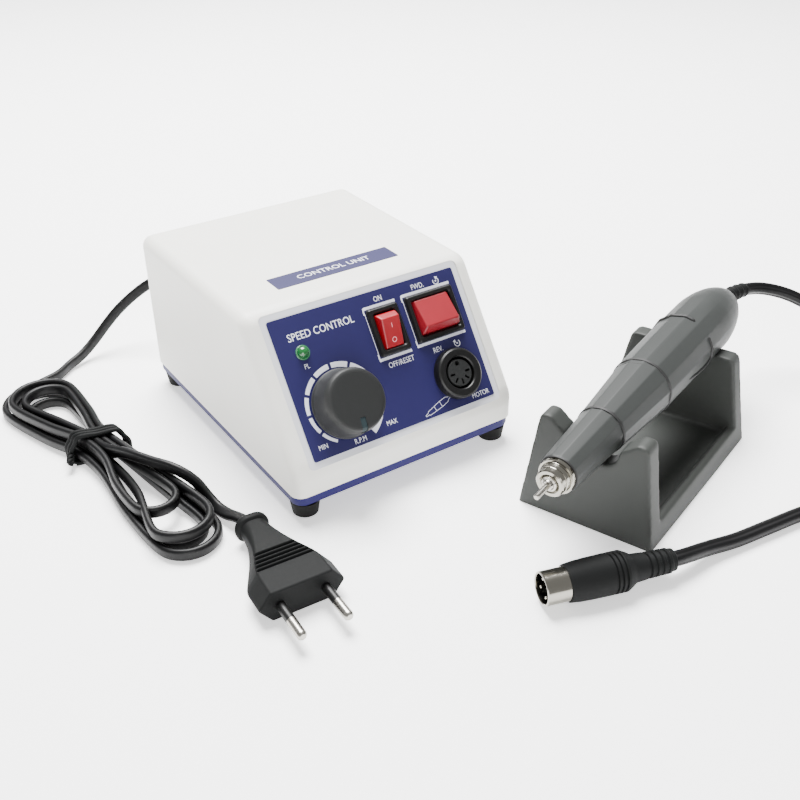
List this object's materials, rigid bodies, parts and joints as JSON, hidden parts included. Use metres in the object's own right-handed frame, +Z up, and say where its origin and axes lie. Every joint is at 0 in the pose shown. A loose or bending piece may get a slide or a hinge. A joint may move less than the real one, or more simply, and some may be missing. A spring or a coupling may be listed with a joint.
{
  "type": "dental electric micromotor set",
  "caption": "Speed-control box with sloped panel, mains lead and plug, with a motor handpiece resting in a cradle on its own cord and round plug.",
  "frame": {"origin": "on the table, under the middle of the bounding box of the control box, cradle and handpiece (the loose cords and plugs left out)", "axes": "+Z up from the table, +X to the right seen from the control box's front, +Y from its front panel to its rear wall"},
  "size_m": [0.4051, 0.3308, 0.0785],
  "materials": {
    "case_white": "fine satin moulded",
    "base_blue": "fine satin moulded",
    "label_blue": "satin printed film",
    "label_frame": "satin",
    "black_plastic": "satin",
    "knob_grey": "fine matt",
    "pointer_grey": "gloss",
    "rocker_red": "gloss",
    "foot_rubber": "matt",
    "led_green": "clear gloss",
    "cradle_grey": "fine matt",
    "hand_grey": "fine satin",
    "chrome": "polished",
    "steel": "turned",
    "brass": "turned",
    "copper": "enamelled wire",
    "board_green": "coated",
    "magnet_dark": "plain",
    "cord_black": "satin"
  },
  "bodies": {
    "console": {"power_switch_housing": "black_plastic", "direction_switch_housing": "black_plastic", "potentiometer": "steel", "socket_shell": "black_plastic", "socket_insert": "knob_grey", "led_lens": "led_green", "cover": "case_white", "front_label": "label_blue", "label_frame": "label_frame", "top_label": "label_blue", "base_plate": "base_blue", "foot_front_left": "foot_rubber", "foot_back_left": "foot_rubber", "foot_front_right": "foot_rubber", "foot_back_right": "foot_rubber", "case_screw_front_left": "steel", "case_screw_back_left": "steel", "case_screw_front_right": "steel", "case_screw_back_right": "steel", "circuit_board": "board_green", "heat_sink": "steel", "transformer_core": "steel", "transformer_winding": "copper", "mains_strain_relief": "black_plastic", "mains_cord_lead": "cord_black", "mains_cord_hank": "cord_black", "hank_tie": "foot_rubber", "plug_body": "black_plastic", "plug_pin_left": "chrome", "plug_pin_right": "chrome", "mains_cord_tail": "cord_black", "cradle": "cradle_grey", "motor_cord_lead": "cord_black", "motor_cord_coil": "cord_black", "din_plug_body": "black_plastic", "din_plug_shell": "chrome", "din_pin_1": "chrome", "din_pin_2": "chrome", "din_pin_3": "chrome", "motor_cord_tail": "cord_black"},
    "knob": {"speed_knob": "knob_grey", "knob_pointer": "pointer_grey", "potentiometer_shaft": "brass"},
    "power_rocker": {"power_rocker": "rocker_red"},
    "direction_rocker": {"direction_rocker": "rocker_red"},
    "handpiece": {"nose_sleeve": "hand_grey", "motor_housing": "hand_grey", "spindle_housing": "steel", "chuck_nut": "chrome", "front_bearing": "steel", "middle_bearing": "steel", "rear_bearing": "steel", "magnet_can": "magnet_dark", "brush_holder": "black_plastic", "handpiece_strain_relief": "black_plastic"},
    "chuck_sleeve": {"chuck_sleeve": "hand_grey"},
    "spindle": {"spindle": "steel", "armature": "copper"},
    "collet": {"collet": "chrome"},
    "dummy_pin": {"dummy_pin": "chrome"}
  },
  "joints": [
    {"name": "speed_knob_turn", "type": "hinge", "parent": "console", "child": "knob", "pos_m": [-0.08974, -0.02236, 0.0415], "axis": [0, 0.8168, -0.577], "range_deg": [0, 300]},
    {"name": "power_rocker_tilt", "type": "hinge", "parent": "console", "child": "power_rocker", "pos_m": [-0.05839, -0.00821, 0.05979], "axis": [1, 0, 0], "range_deg": [-24, 0]},
    {"name": "direction_rocker_tilt", "type": "hinge", "parent": "console", "child": "direction_rocker", "pos_m": [-0.03414, -0.00798, 0.06012], "axis": [1, 0, 0], "range_deg": [0, 24]},
    {"name": "handpiece_lift", "type": "slide", "parent": "console", "child": "handpiece", "axis": [0, 0, 1], "range_m": [0, 0.12]},
    {"name": "chuck_sleeve_turn", "type": "hinge", "parent": "handpiece", "child": "chuck_sleeve", "pos_m": [-0.05069, -0.11006, 0.04235], "axis": [0.9413, 0.3365, 0.0283], "range_deg": [0, 60]},
    {"name": "spindle_spin", "type": "hinge", "parent": "handpiece", "child": "spindle", "pos_m": [-0.05069, -0.11006, 0.04235], "axis": [0.9413, 0.3365, 0.0283], "continuous": true},
    {"name": "collet_slide", "type": "slide", "parent": "spindle", "child": "collet", "axis": [-0.9413, -0.3365, -0.0283], "range_m": [0, 0.001]},
    {"name": "dummy_pin_pull", "type": "slide", "parent": "collet", "child": "dummy_pin", "axis": [-0.9413, -0.3365, -0.0283], "range_m": [0, 0.03]}
  ],
  "couplings": [
    {"joint": "collet_slide", "follows": "chuck_sleeve_turn", "m_per_rad": 0.000955}
  ]
}
